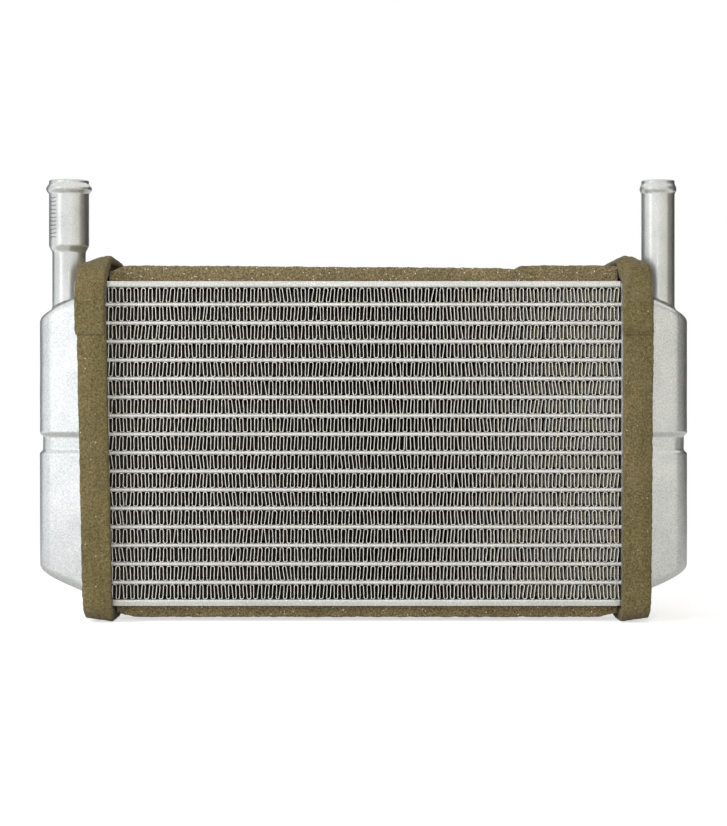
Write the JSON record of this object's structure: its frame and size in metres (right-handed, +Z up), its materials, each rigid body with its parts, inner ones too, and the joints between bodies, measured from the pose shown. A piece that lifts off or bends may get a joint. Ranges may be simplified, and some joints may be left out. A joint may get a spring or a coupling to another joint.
{
  "type": "heater core",
  "caption": "Aluminium heater core of flat tubes and folded fins between two pressed end tanks, with upright inlet and outlet pipes and foam seals round its ends, top and bottom.",
  "frame": {"origin": "midway between the two tanks and the two flange faces, on the surface that the foam straps stand on", "axes": "+X from the inlet tank to the outlet tank, -Y out of the front face, +Z up along the pipes"},
  "size_m": [0.3086, 0.0644, 0.2089],
  "materials": {
    "tube": "dull, as brazed",
    "fin": "dull, as brazed",
    "side_plate": "dull, as brazed, with flux specks",
    "header": "dull, as brazed",
    "tank": "satin, frosted by the brazing furnace",
    "pipe": "satin, with tool marks on the barrel",
    "strap_foam": "open-cell foam, matt olive brown",
    "strip_foam": "open-cell foam, matt olive brown"
  },
  "bodies": {
    "root": {"tube_01": "tube", "tube_02": "tube", "tube_03": "tube", "tube_04": "tube", "tube_05": "tube", "tube_06": "tube", "tube_07": "tube", "tube_08": "tube", "tube_09": "tube", "tube_10": "tube", "tube_11": "tube", "tube_12": "tube", "tube_13": "tube", "tube_14": "tube", "tube_15": "tube", "tube_16": "tube", "fin_01": "fin", "fin_02": "fin", "fin_03": "fin", "fin_04": "fin", "fin_05": "fin", "fin_06": "fin", "fin_07": "fin", "fin_08": "fin", "fin_09": "fin", "fin_10": "fin", "fin_11": "fin", "fin_12": "fin", "fin_13": "fin", "fin_14": "fin", "fin_15": "fin", "fin_16": "fin", "fin_17": "fin", "side_plate_top": "side_plate", "side_plate_bottom": "side_plate", "header_right": "header", "header_left": "header", "tank_right": "tank", "tank_left": "tank", "inlet_pipe": "pipe", "outlet_pipe": "pipe", "strap_left": "strap_foam", "strap_right": "strap_foam", "strap_left_lap": "strap_foam", "strap_right_lap": "strap_foam", "top_foam_long": "strip_foam", "top_foam_short": "strip_foam", "bottom_foam": "strip_foam"}
  },
  "joints": []
}
